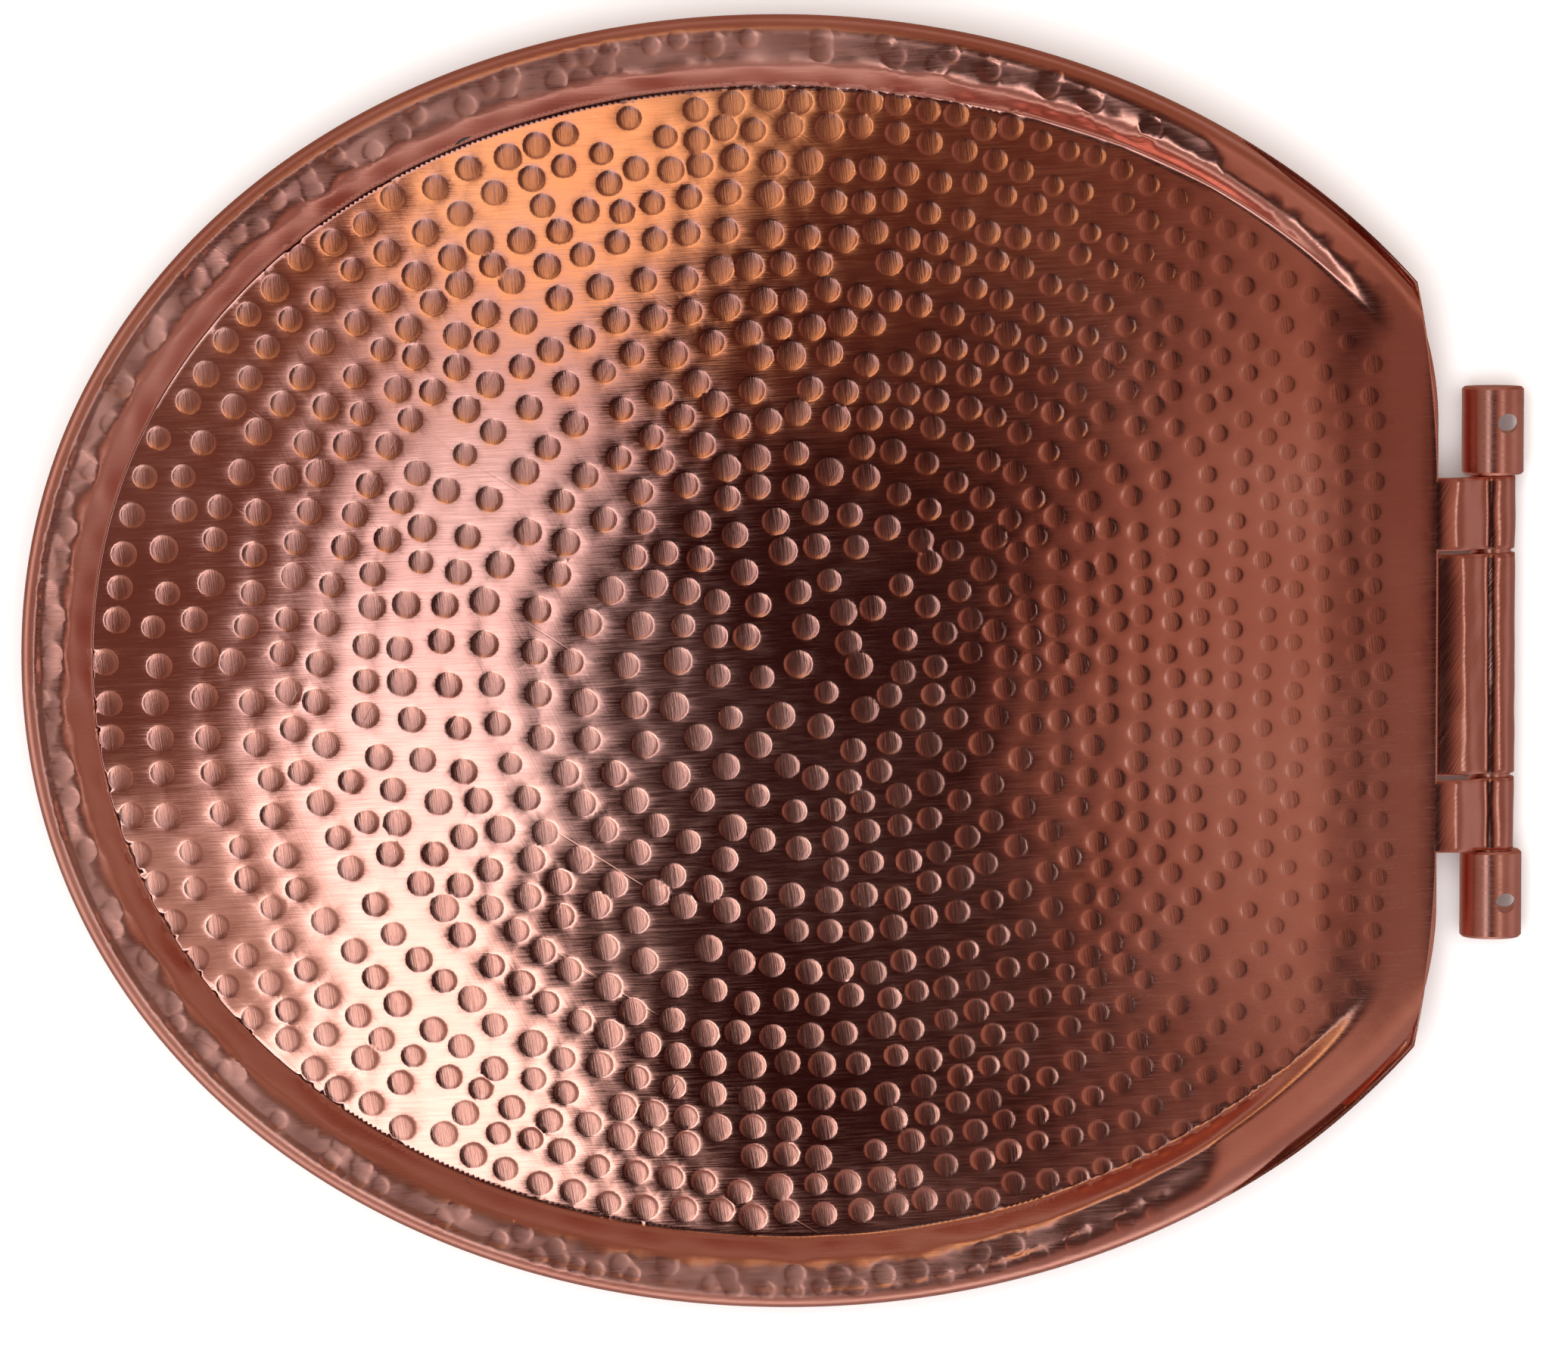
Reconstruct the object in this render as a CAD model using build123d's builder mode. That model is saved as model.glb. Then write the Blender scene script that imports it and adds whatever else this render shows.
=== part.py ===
from build123d import *
import math
import os

# Hammered copper toilet seat: a domed lid, a ring seat and the hinge rod they share.
# Millimetres. X runs along the hinge, -Y points to the front of the bowl and Z is up.
# The origin is midway between the two fixing holes, on the china that the seat stands on.

SHEET = 1.2  # thickness of the copper sheet

# Plan of the lid: a half ellipse to the front and one to the back, cut off by the hinge edge
HALF_WIDTH = 189.0
WIDEST_Y = -212.0
FRONT_REACH = 222.5
REAR_REACH = 229.5
HINGE_EDGE_Y = -20.2

# Hinge
AXIS_Y = -4.2
AXIS_Z = 9.0
ROD_R = 5.5
ROD_HALF = 66.0
BARREL_R = 9.0
BARREL_INNER_X = 55.0
BARREL_OUTER_X = 80.5
BARREL_CHAMFER = 0.7
SOCKET_END_GAP = 0.2
ROD_CHAMFER = 0.5
HOLE_X = 70.0
HOLE_R = 2.9
RUNNING_FIT = 0.05
KNUCKLE_IN = ROD_R + RUNNING_FIT
KNUCKLE_OUT = KNUCKLE_IN + SHEET
KNUCKLE_WRAP = 290
SEAT_TAB_HALF = 32.2
LID_TAB_INNER = 33.4
LID_TAB_OUTER = 54.6
TAB_BEND_Y = -14.6
TAB_ROOT_Y = -24.0
BEND_R = 1.0

# Lid heights and its pressed rim
LID_BASE = 22.2
RIM_TOP = 34.0
RIM_ROUND = 5.5
BAND_INSET = 15.0
CREASE_INSET = 20.5
CREASE_Z = 27.0
DOME_RISE = 18.0
WALL_RUN = (CREASE_INSET - BAND_INSET) / (RIM_TOP - CREASE_Z)
BURIED = 3.0  # how far one block of the lid runs into the next, so that they join
REAR_FLAT_Y = -30.0
REAR_SLOPE = (RIM_TOP - LID_BASE - SHEET) / 55.0
REAR_CUT_RUN = 220.0

# Seat
SEAT_INSET = 3.0
SEAT_BASE = 5.0
SEAT_TOP = 20.8
SEAT_ROUND = 10.0
OPENING_ROUND = 12.0
SEAT_FLAT_HALF = 78.0
SEAT_CORNER = 53.0
SHORT_EDGE = 100.0  # edges of the plan with less run than this are the corner arcs and stay sharp
OPENING_Y = -236.5
OPENING_HALF_X = 112.0
OPENING_HALF_Y = 132.0
GLUE_GAP = 0.1

# Fasteners and rubber
BUMPER_R = 9.0
BUMPER_ROUND = 0.8
BUMPER_SPOTS = [(132, -150), (-132, -150), (124, -320), (-124, -320)]
BUFFER_R = 7.0
BUFFER_SPOTS = [(152, -150), (-152, -150), (147, -300), (-147, -300)]
BUFFER_GAP = 0.3
SCREW_R = 1.75
SCREW_CLEARANCE = 0.25
SCREW_HEAD_R = 3.6
SCREW_HEAD_H = 1.8
SCREW_POINT = 2.5
SLOT_W = 0.7
SLOT_DEPTH = 1.0
PILOT_DEPTH = 13.0
PLATE_SCREW_LENGTH = 12.0
BUMPER_SCREW_LENGTH = 14.0
HEAD_POCKET_R = 4.2
HEAD_POCKET_DEPTH = 2.7
SCREW_PATH_Y = -231.0
SCREW_PATH_HALF_X = 149.0
SCREW_PATH_HALF_Y = 169.0
SCREW_ANGLES = [0, 58, 90, 122, 180, 238, 270, 302]


def seat_plan(inset, flat_half=50.0, rear_y=HINGE_EDGE_Y, corner=53.7):
    """Plan drawn in from the lid's edge by inset all round but at the back."""
    half_x = HALF_WIDTH - inset
    reach = REAR_REACH - inset
    with BuildSketch() as plan:
        with BuildLine():
            EllipticalCenterArc((0, WIDEST_Y), half_x, FRONT_REACH - inset, 180, arc_size=180)
            right = EllipticalCenterArc((0, WIDEST_Y), half_x, reach, 0, arc_size=corner)
            left = EllipticalCenterArc((0, WIDEST_Y), half_x, reach, 180 - corner, arc_size=corner)
            back = Line((flat_half, rear_y), (-flat_half, rear_y))
            TangentArc(back @ 0, right @ 1, tangent=(1, 0))
            TangentArc(back @ 1, left @ 0, tangent=(-1, 0))
        make_face()
    return plan.sketch


def wall_inset(z):
    """How far in from the edge the lid's inward step lies at height z."""
    return BAND_INSET + (RIM_TOP - z) * WALL_RUN


def dome_cap():
    """The lid's dome: a cap of a sphere, stretched to the front and set at its widest line."""
    rim_r = HALF_WIDTH - CREASE_INSET
    sphere_r = (rim_r**2 + DOME_RISE**2) / (2 * DOME_RISE)
    centre_z = CREASE_Z + DOME_RISE - sphere_r
    base_z = CREASE_Z - 2 * BURIED
    base_r = math.sqrt(sphere_r**2 - (base_z - centre_z) ** 2)
    middle_z = centre_z + math.sqrt(sphere_r**2 - base_r**2 / 4)
    with BuildPart() as cap:
        with BuildSketch(Plane.XZ):
            with BuildLine():
                base = Line((0, base_z), (base_r, base_z))
                crown = ThreePointArc(base @ 1, (base_r / 2, middle_z), (0, CREASE_Z + DOME_RISE))
                Line(crown @ 1, base @ 0)
            make_face()
        revolve(axis=Axis.Z)
        scale(by=(1, (FRONT_REACH - CREASE_INSET) / rim_r, 1))
    return cap.part.moved(Location((0, WIDEST_Y, 0)))


def lid_block(depth):
    """Solid under the lid's skin: its outside for depth 0, its underside for depth SHEET."""
    wall_shift = depth * math.hypot(1, WALL_RUN)
    bottom = LID_BASE - depth
    recess_top = RIM_TOP + 1
    recess_bottom = CREASE_Z - BURIED
    flat_z = LID_BASE + SHEET - depth

    with BuildPart() as domed:
        add(dome_cap().moved(Location((0, 0, -depth))))
        with BuildSketch(Plane.XY.offset(bottom)):
            add(seat_plan(BAND_INSET + BURIED))
        extrude(amount=2 * (CREASE_Z + DOME_RISE - bottom), mode=Mode.INTERSECT)

    with BuildPart() as block:
        with BuildSketch(Plane.XY.offset(bottom)):
            add(seat_plan(depth))
        extrude(amount=RIM_TOP - depth - bottom)
        fillet(block.faces().sort_by(Axis.Z)[-1].edges(), RIM_ROUND - depth)
        with BuildSketch(Plane.XY.offset(recess_top)):
            add(seat_plan(wall_inset(recess_top) - wall_shift))
        with BuildSketch(Plane.XY.offset(recess_bottom)):
            add(seat_plan(wall_inset(recess_bottom) - wall_shift))
        loft(ruled=True, mode=Mode.SUBTRACT)
        with BuildSketch(Plane.XY.offset(bottom)):
            add(seat_plan(BAND_INSET + BURIED))
        extrude(amount=CREASE_Z - BURIED + 1 - bottom)
        add(domed.part)
        with BuildSketch(Plane.YZ):
            with BuildLine():
                Polyline(
                    (BARREL_R, flat_z),
                    (REAR_FLAT_Y, flat_z),
                    (REAR_FLAT_Y - REAR_CUT_RUN, flat_z + REAR_CUT_RUN * REAR_SLOPE),
                    (REAR_FLAT_Y - REAR_CUT_RUN, 2 * REAR_CUT_RUN),
                    (BARREL_R, 2 * REAR_CUT_RUN),
                    close=True,
                )
            make_face()
        extrude(amount=HALF_WIDTH + BURIED, both=True, mode=Mode.SUBTRACT)
    return block.part


def knuckle_profile(top_z):
    """Side view of a tab that leaves a flat sheet at top_z and rolls round the hinge rod."""
    reach_y = TAB_BEND_Y - AXIS_Y
    reach_z = top_z - AXIS_Z
    reach = math.hypot(reach_y, reach_z)
    touch = math.atan2(reach_z, reach_y) - math.acos(KNUCKLE_OUT / reach)
    end = touch - math.radians(KNUCKLE_WRAP)
    fall = math.tan(touch - math.pi / 2)

    def on_circle(radius, angle):
        return (AXIS_Y + radius * math.cos(angle), AXIS_Z + radius * math.sin(angle))

    outer_touch = on_circle(KNUCKLE_OUT, touch)
    inner_touch = on_circle(KNUCKLE_IN, touch)
    under_bend_y = inner_touch[0] + (top_z - SHEET - inner_touch[1]) / fall
    middle = (touch + end) / 2
    with BuildSketch() as profile:
        with BuildLine():
            Line((TAB_ROOT_Y, top_z), (TAB_BEND_Y, top_z))
            Line((TAB_BEND_Y, top_z), outer_touch)
            ThreePointArc(outer_touch, on_circle(KNUCKLE_OUT, middle), on_circle(KNUCKLE_OUT, end))
            Line(on_circle(KNUCKLE_OUT, end), on_circle(KNUCKLE_IN, end))
            ThreePointArc(on_circle(KNUCKLE_IN, end), on_circle(KNUCKLE_IN, middle), inner_touch)
            Line(inner_touch, (under_bend_y, top_z - SHEET))
            Line((under_bend_y, top_z - SHEET), (TAB_ROOT_Y, top_z - SHEET))
            Line((TAB_ROOT_Y, top_z - SHEET), (TAB_ROOT_Y, top_z))
        make_face()
        bends = profile.vertices().sort_by_distance((TAB_BEND_Y, top_z, 0))
        fillet(bends[0], BEND_R + SHEET)
        bends = profile.vertices().sort_by_distance((under_bend_y, top_z - SHEET, 0))
        fillet(bends[0], BEND_R)
    return profile.sketch


def ring_block(shrink, bottom, top, edge_round, opening_round):
    """Solid ring with the seat's plan, drawn in by shrink, its top edges rounded."""
    with BuildPart() as ring:
        with BuildSketch(Plane.XY.offset(bottom)):
            flat_half = SEAT_FLAT_HALF - shrink
            add(seat_plan(SEAT_INSET + shrink, flat_half, HINGE_EDGE_Y - shrink, SEAT_CORNER))
            with Locations((0, OPENING_Y)):
                Ellipse(OPENING_HALF_X + shrink, OPENING_HALF_Y + shrink, mode=Mode.SUBTRACT)
        extrude(amount=top - bottom)
        if edge_round:
            rim = ring.faces().sort_by(Axis.Z)[-1].edges()
            outer = rim.filter_by(lambda e: SHORT_EDGE < e.bounding_box().size.Y < FRONT_REACH)
            fillet(outer, edge_round)
            rim = ring.faces().sort_by(Axis.Z)[-1].edges()
            fillet(rim.filter_by(lambda e: FRONT_REACH < e.bounding_box().size.Y), opening_round)
    return ring.part


def screw_path():
    """Places of the screws that hold the closing plate, on an oval along the middle of the ring."""
    return [
        (
            SCREW_PATH_HALF_X * math.cos(math.radians(a)),
            SCREW_PATH_Y + SCREW_PATH_HALF_Y * math.sin(math.radians(a)),
        )
        for a in SCREW_ANGLES
    ]


def wood_screws(spots, head_z, length):
    """Cross-slotted wood screws pointing up, with their heads' flat sides at head_z."""
    bevel = SCREW_HEAD_H * 2 / 3
    with BuildPart() as one:
        with BuildSketch(Plane.XZ):
            with BuildLine():
                outline = Polyline(
                    (0, -SCREW_HEAD_H),
                    (SCREW_HEAD_R - bevel, -SCREW_HEAD_H),
                    (SCREW_HEAD_R, bevel - SCREW_HEAD_H),
                    (SCREW_HEAD_R, 0),
                    (SCREW_R, 0),
                    (SCREW_R, length - SCREW_POINT),
                    (0, length),
                )
                Line(outline @ 1, outline @ 0)
            make_face()
        revolve(axis=Axis.Z)
        with BuildSketch(Plane.XY.offset(-SCREW_HEAD_H)):
            Rectangle(SCREW_HEAD_R, SLOT_W)
            Rectangle(SLOT_W, SCREW_HEAD_R)
        extrude(amount=SLOT_DEPTH, mode=Mode.SUBTRACT)
    with BuildPart() as screws:
        with Locations([(x, y, head_z) for x, y in spots]):
            add(one.part)
    return screws.part


def barrel(side):
    """End barrel on the rod, with its fixing hole bored behind the rod's line; side is 1 or -1."""
    inner = Plane(origin=(side * BARREL_INNER_X, AXIS_Y, AXIS_Z), x_dir=(0, 1, 0), z_dir=(side, 0, 0))
    with BuildPart() as body:
        with BuildSketch(inner):
            Circle(BARREL_R)
        extrude(amount=BARREL_OUTER_X - BARREL_INNER_X)
        chamfer(body.edges(), BARREL_CHAMFER)
        with BuildSketch(inner):
            Circle(ROD_R)
        extrude(amount=ROD_HALF - BARREL_INNER_X + SOCKET_END_GAP, mode=Mode.SUBTRACT)
        with BuildSketch(Plane.XY):
            with Locations((side * HOLE_X, 0)):
                Circle(HOLE_R)
        extrude(amount=2 * AXIS_Z, mode=Mode.SUBTRACT)
    return body.part


os.makedirs("parts", exist_ok=True)

lid_outside = lid_block(0)
lid_underside = lid_block(SHEET)

with BuildPart() as lid_shell:
    add(lid_outside)
    add(lid_underside, mode=Mode.SUBTRACT)
    with BuildSketch(Plane.YZ.offset(LID_TAB_INNER)):
        add(knuckle_profile(LID_BASE + SHEET))
    extrude(amount=LID_TAB_OUTER - LID_TAB_INNER)
    with BuildSketch(Plane.YZ.offset(-LID_TAB_OUTER)):
        add(knuckle_profile(LID_BASE + SHEET))
    extrude(amount=LID_TAB_OUTER - LID_TAB_INNER)
lid_shell.part.label = "lid_shell"

with BuildPart() as lid_buffers:
    with BuildSketch(Plane.XY.offset(SEAT_TOP + BUFFER_GAP)):
        with Locations(BUFFER_SPOTS):
            Circle(BUFFER_R)
    extrude(amount=CREASE_Z - SEAT_TOP + DOME_RISE / 3)
    add(lid_underside, mode=Mode.INTERSECT)
lid_buffers.part.label = "lid_buffers"

with BuildPart() as seat_shell:
    add(ring_block(0, SEAT_BASE, SEAT_TOP, SEAT_ROUND, OPENING_ROUND))
    channel = ring_block(
        SHEET, SEAT_BASE - 1, SEAT_TOP - SHEET, SEAT_ROUND - SHEET, OPENING_ROUND - SHEET
    )
    add(channel, mode=Mode.SUBTRACT)
    with BuildSketch(Plane.YZ.offset(-SEAT_TAB_HALF)):
        add(knuckle_profile(SEAT_TOP))
    extrude(amount=2 * SEAT_TAB_HALF)
seat_shell.part.label = "seat_shell"

with BuildPart() as seat_core:
    skin = SHEET + GLUE_GAP
    add(ring_block(skin, SEAT_BASE + skin, SEAT_TOP - skin, SEAT_ROUND - skin, OPENING_ROUND - skin))
    with BuildSketch(Plane.XY.offset(SEAT_BASE)):
        with Locations(screw_path()):
            Circle(SCREW_R + RUNNING_FIT)
        with Locations(BUMPER_SPOTS):
            Circle(SCREW_R + RUNNING_FIT)
    extrude(amount=PILOT_DEPTH, mode=Mode.SUBTRACT)
seat_core.part.label = "seat_core"

with BuildPart() as seat_bottom_plate:
    add(ring_block(SHEET + GLUE_GAP, SEAT_BASE, SEAT_BASE + SHEET, 0, 0))
    with BuildSketch(Plane.XY.offset(SEAT_BASE)):
        with Locations(screw_path()):
            Circle(SCREW_R + SCREW_CLEARANCE)
        with Locations(BUMPER_SPOTS):
            Circle(SCREW_R + SCREW_CLEARANCE)
    extrude(amount=SHEET, mode=Mode.SUBTRACT)
seat_bottom_plate.part.label = "seat_bottom_plate"


with BuildPart() as plate_screws:
    add(wood_screws(screw_path(), SEAT_BASE, PLATE_SCREW_LENGTH))
plate_screws.part.label = "plate_screws"

with BuildPart() as bumper_screws:
    add(wood_screws(BUMPER_SPOTS, HEAD_POCKET_DEPTH, BUMPER_SCREW_LENGTH))
bumper_screws.part.label = "bumper_screws"

with BuildPart() as seat_bumpers:
    with BuildSketch():
        with Locations(BUMPER_SPOTS):
            Circle(BUMPER_R)
    extrude(amount=SEAT_BASE)
    fillet(seat_bumpers.edges().group_by(Axis.Z)[0], BUMPER_ROUND)
    with BuildSketch():
        with Locations(BUMPER_SPOTS):
            Circle(HEAD_POCKET_R)
    extrude(amount=HEAD_POCKET_DEPTH, mode=Mode.SUBTRACT)
    with BuildSketch():
        with Locations(BUMPER_SPOTS):
            Circle(SCREW_R + SCREW_CLEARANCE)
    extrude(amount=SEAT_BASE, mode=Mode.SUBTRACT)
seat_bumpers.part.label = "seat_bumpers"

with BuildPart() as hinge_rod:
    with BuildSketch(Plane.YZ.offset(-ROD_HALF)):
        with Locations((AXIS_Y, AXIS_Z)):
            Circle(ROD_R)
    extrude(amount=2 * ROD_HALF)
    chamfer(hinge_rod.edges(), ROD_CHAMFER)
hinge_rod.part.label = "hinge_rod"


with BuildPart() as hinge_barrel_left:
    add(barrel(-1))
hinge_barrel_left.part.label = "hinge_barrel_left"

with BuildPart() as hinge_barrel_right:
    add(barrel(1))
hinge_barrel_right.part.label = "hinge_barrel_right"

export_step(lid_shell.part, "parts/lid_shell.step")
export_step(lid_buffers.part, "parts/lid_buffers.step")
export_step(seat_shell.part, "parts/seat_shell.step")
export_step(seat_core.part, "parts/seat_core.step")
export_step(seat_bottom_plate.part, "parts/seat_bottom_plate.step")
export_step(plate_screws.part, "parts/plate_screws.step")
export_step(seat_bumpers.part, "parts/seat_bumpers.step")
export_step(bumper_screws.part, "parts/bumper_screws.step")
export_step(hinge_rod.part, "parts/hinge_rod.step")
export_step(hinge_barrel_left.part, "parts/hinge_barrel_left.step")
export_step(hinge_barrel_right.part, "parts/hinge_barrel_right.step")
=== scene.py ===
import math
import bmesh
import bpy
import numpy as np
from mathutils import Matrix, Vector
from mathutils.geometry import delaunay_2d_cdt


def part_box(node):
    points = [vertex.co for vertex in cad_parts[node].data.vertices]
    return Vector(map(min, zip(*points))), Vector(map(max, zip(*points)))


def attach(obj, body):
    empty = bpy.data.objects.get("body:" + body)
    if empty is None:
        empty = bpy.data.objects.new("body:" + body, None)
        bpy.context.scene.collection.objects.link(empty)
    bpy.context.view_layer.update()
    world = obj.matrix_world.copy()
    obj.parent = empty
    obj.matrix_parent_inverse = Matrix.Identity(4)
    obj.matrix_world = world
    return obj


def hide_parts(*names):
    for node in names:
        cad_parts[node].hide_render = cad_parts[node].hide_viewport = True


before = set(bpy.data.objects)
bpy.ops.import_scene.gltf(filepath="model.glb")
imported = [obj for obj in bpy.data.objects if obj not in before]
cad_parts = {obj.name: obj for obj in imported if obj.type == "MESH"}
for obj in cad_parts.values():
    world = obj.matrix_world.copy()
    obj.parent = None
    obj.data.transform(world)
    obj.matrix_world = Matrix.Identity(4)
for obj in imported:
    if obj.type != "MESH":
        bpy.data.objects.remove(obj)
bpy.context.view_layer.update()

# Hammered copper toilet seat. Shapes are worked out in millimetres and scaled when a mesh is made.
MM = 0.001
HALVINGS = 24  # steps of each search for a distance from an oval
SHEET = 1.2

# Plan and heights of the lid, as in the CAD model
lid_lo, lid_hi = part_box("lid_shell")
HALF_WIDTH = lid_hi[0] / MM
WIDEST_Y = -212.0
FRONT_REACH = WIDEST_Y - lid_lo[1] / MM
REAR_REACH = 229.5
EDGE_Y = -20.2
EDGE_STRAIGHT = 50.0
CORNER_X = 111.5
CORNER_DROP = 6.3
FULLNESS = 2.06  # power of the front half's oval: 2 is an ellipse
LID_BASE = 22.2
RIM_TOP = 34.0
RIM_WIDTH = 20.5
CREASE_Z = 27.0
DOME_RISE = 18.0
DOME_HALF_WIDTH = 168.5
DOME_HALF_LENGTH = 202.0
BAND_DROP = 0.35  # the rim's flat band lies this far below its rolled edge
EDGE_ROLL = 5.5  # height of the rounding from the rim down to the skirt
WALL_LEAN = 1.27  # sideways shift of the step's inside face, per millimetre of sheet
REAR_FLAT_Y = -30.0
REAR_SLOPE = (RIM_TOP - LID_BASE - SHEET) / 55.0
STRIP_Y = -22.0  # the plain strip beside the hinge runs from here toward the front
STRIP_RUN = 12.0
STRIP_SLOPE = 0.13
DOME_WAVES = 0.22
RIM_WAVES = 0.14

# Seat
SEAT_INSET = 3.0
SEAT_STRAIGHT = 70.0
SEAT_CORNER_X = 108.0
SEAT_CORNER_DROP = 7.6
SEAT_BASE = 5.0
SEAT_TOP = 20.8
SEAT_ROUND = 10.0
OPENING_Y = -236.5
OPENING_X_R = 112.0
OPENING_Y_R = 132.0
OPENING_ROUND = 12.0
SEAT_EDGE_ROUND = 1.4
SEAT_MARK_R = 3.4

# Hinge
AXIS_Y = -4.2
AXIS_Z = 9.0
KNUCKLE_IN = 5.55
KNUCKLE_OUT = KNUCKLE_IN + SHEET
KNUCKLE_WRAP = 290
ROLL_SIGHT_Y = -14.6  # a line from here, at the sheet's height, touches the roll
ROLL_START = 99  # degrees, just before the top of the roll
SEAT_TAB = (-32.2, 32.2)
LID_TAB = (33.4, 54.6)
LID_TAB_BEND = (-15.6, LID_BASE + SHEET - 0.7)
SEAT_TAB_BEND = (-13.4, SEAT_TOP - 1.0)
TAB_WAVES = 0.11

# Hammer marks
MARK_R_FRONT = 3.75
MARK_R_HINGE = 2.6
MARK_DEPTH = 0.17
MARK_LIP = 0.055
MARK_PULL = 0.08
PULL_REACH = 1.15
TOUCHING = 0.95  # closest spacing of two marks, as a share of their two radii
RING_COUNT = 18
RINGS_CENTRE = (-4.0, -186.0)
MARK_FADE = (-130.0, -45.0)  # between these distances from the hinge the lid's marks grow faint
SEAT_MARK_FADE = (-80.0, -36.0)
BAND_STRENGTH = 0.5

# Mesh density: points round the oval and along the hinge edge, and insets of extra lines of points
LID_LOOP = (640, 140)
SEAT_LOOP = (520, 130)
OPENING_LOOP = 360
LID_LINES = (3.0, 4.2, 5.3, 6.0, 7.0, 14.6, 15.4, 16.4, 17.6, 19.0, 20.0, 20.5, 21.0, 22.0)
UNDER_LINES = (2.6, 4.2, 6.0, 13.8, 16.0, 18.5, 19.4)
SEAT_LINES = (1.8, 3.2, 5.0, 7.5, 10.0)
OPENING_LINES = (1.9, 3.4, 5.5, 8.0, 12.0)
CHUNK = 4000  # points compared with every mark at one time
BUMP_REACH = 2.3
BUMP_HEIGHT = 0.42

rng = np.random.default_rng(7)


# ---------------------------------------------------------------- shapes

def smooth_step(t):
    t = np.clip(t, 0.0, 1.0)
    return t * t * (3.0 - 2.0 * t)


def smooth_min(a, b, k):
    h = np.clip(0.5 + 0.5 * (b - a) / k, 0.0, 1.0)
    return b * (1 - h) + a * h - k * h * (1 - h)


def soft_ramp(t, width):
    """About max(t, 0), rounded over width."""
    return width * np.logaddexp(0.0, t / width)


def slow_waves(x, y, length, seed):
    """Gentle unevenness of hand-beaten sheet, between about -1 and 1."""
    waves = np.random.default_rng(seed)
    total = np.zeros_like(x)
    for _ in range(6):
        turn, shift = waves.uniform(0, 2 * math.pi, 2)
        stretch = length * waves.uniform(0.7, 1.5)
        total += np.sin(2 * math.pi * (x * math.cos(turn) + y * math.sin(turn)) / stretch + shift)
    return total / 3.0


def oval_inset(x, y, inset=0.0):
    """How far inside the lid's oval edge each point lies, less inset."""
    dy = y - WIDEST_Y
    reach = np.where(dy < 0, FRONT_REACH, REAR_REACH)
    power = np.where(dy < 0, FULLNESS, 2.0)
    low = np.full_like(x, -8.0)
    high = np.full_like(x, 150.0)
    for _ in range(HALVINGS):
        mid = (low + high) / 2
        inside = (np.abs(x) / (HALF_WIDTH - mid)) ** power + (np.abs(dy) / (reach - mid)) ** power < 1
        low = np.where(inside, mid, low)
        high = np.where(inside, high, mid)
    return (low + high) / 2 - inset


def lid_edge_y(x):
    """The lid's edge along the hinge: straight, then curving forward to its corners."""
    past = np.maximum(np.abs(x) - EDGE_STRAIGHT, 0.0) / (CORNER_X - EDGE_STRAIGHT)
    return EDGE_Y - CORNER_DROP * past**2


def seat_edge_y(x):
    """The seat's edge along the hinge, straight for longer than the lid's."""
    past = np.maximum(np.abs(x) - SEAT_STRAIGHT, 0.0) / (SEAT_CORNER_X - SEAT_STRAIGHT)
    return EDGE_Y - SEAT_CORNER_DROP * past**2


def hinge_ramp(y):
    """Height of the plain strip along the hinge and of the steeper slope that falls to it."""
    strip = soft_ramp(STRIP_Y - y, 1.0) - soft_ramp(STRIP_Y - STRIP_RUN - y, 5.0)
    slope = soft_ramp(REAR_FLAT_Y - STRIP_RUN * STRIP_SLOPE / REAR_SLOPE - y, 5.0)
    return LID_BASE + SHEET + STRIP_SLOPE * strip + REAR_SLOPE * slope


def rim_width(x, y):
    """Width of the lid's raised rim, from its edge to the crease round the dome."""
    side = smooth_step((y - WIDEST_Y - 30.0) / 120.0)
    right = smooth_step(x / 60.0)
    return RIM_WIDTH + side * (5.4 * right - 4.5)


def lid_surface(x, y, depth):
    """Height of the lid's outside for depth 0, and of its underside for depth SHEET."""
    inset = oval_inset(x, y)
    dy = y - WIDEST_Y
    side = smooth_step((dy - 30.0) / 120.0)
    right = smooth_step(x / 60.0)
    roll = 5.0 + side * (1.0 + 5.4 * right)
    crease = rim_width(x, y)
    wall = 7.0 - 2.5 * side
    shift = depth * WALL_LEAN
    ramp = hinge_ramp(y)
    field = CREASE_Z + DOME_RISE * (1 - (x / DOME_HALF_WIDTH) ** 2 - (dy / DOME_HALF_LENGTH) ** 2)
    field = field + DOME_WAVES * slow_waves(x, y, 70.0, 3)
    fade = smooth_step((REAR_FLAT_Y - 4.0 - y) / 22.0)
    easing = 0.5 + 4.5 * smooth_step((REAR_FLAT_Y + 2.0 - y) / 30.0)
    field = smooth_min(field, ramp - 0.9 * fade, easing) - depth
    band = RIM_TOP - depth - BAND_DROP * smooth_step((inset - roll) / 1.4)
    band = band + RIM_WAVES * slow_waves(x, y, 24.0, 5) * smooth_step((inset - roll) / 2.0)
    band = smooth_min(band, ramp - depth, 0.5)
    start = crease - wall - shift + 0.8 * slow_waves(x, y, 17.0, 8) * (1 - side)
    t = np.clip((inset - start) / (crease - shift - start), 0.0, 1.0)
    height = band + (field - band) * t**1.35
    over = np.clip((roll - inset) / (roll - depth), 0.0, 1.0)
    height = height - (EDGE_ROLL - depth) * (1 - np.sqrt(1 - over**2))
    height = smooth_min(height, ramp - depth, 0.5)
    return np.where(inset > roll, np.maximum(height, LID_BASE + SHEET - 0.15 - depth), height)


def opening_gap(x, y):
    """How far outside the seat's opening each point lies."""
    low = np.full_like(x, -60.0)
    high = np.full_like(x, 200.0)
    for _ in range(HALVINGS):
        mid = (low + high) / 2
        outside = (x / (OPENING_X_R + mid)) ** 2 + ((y - OPENING_Y) / (OPENING_Y_R + mid)) ** 2 > 1
        low = np.where(outside, mid, low)
        high = np.where(outside, high, mid)
    return (low + high) / 2


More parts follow.
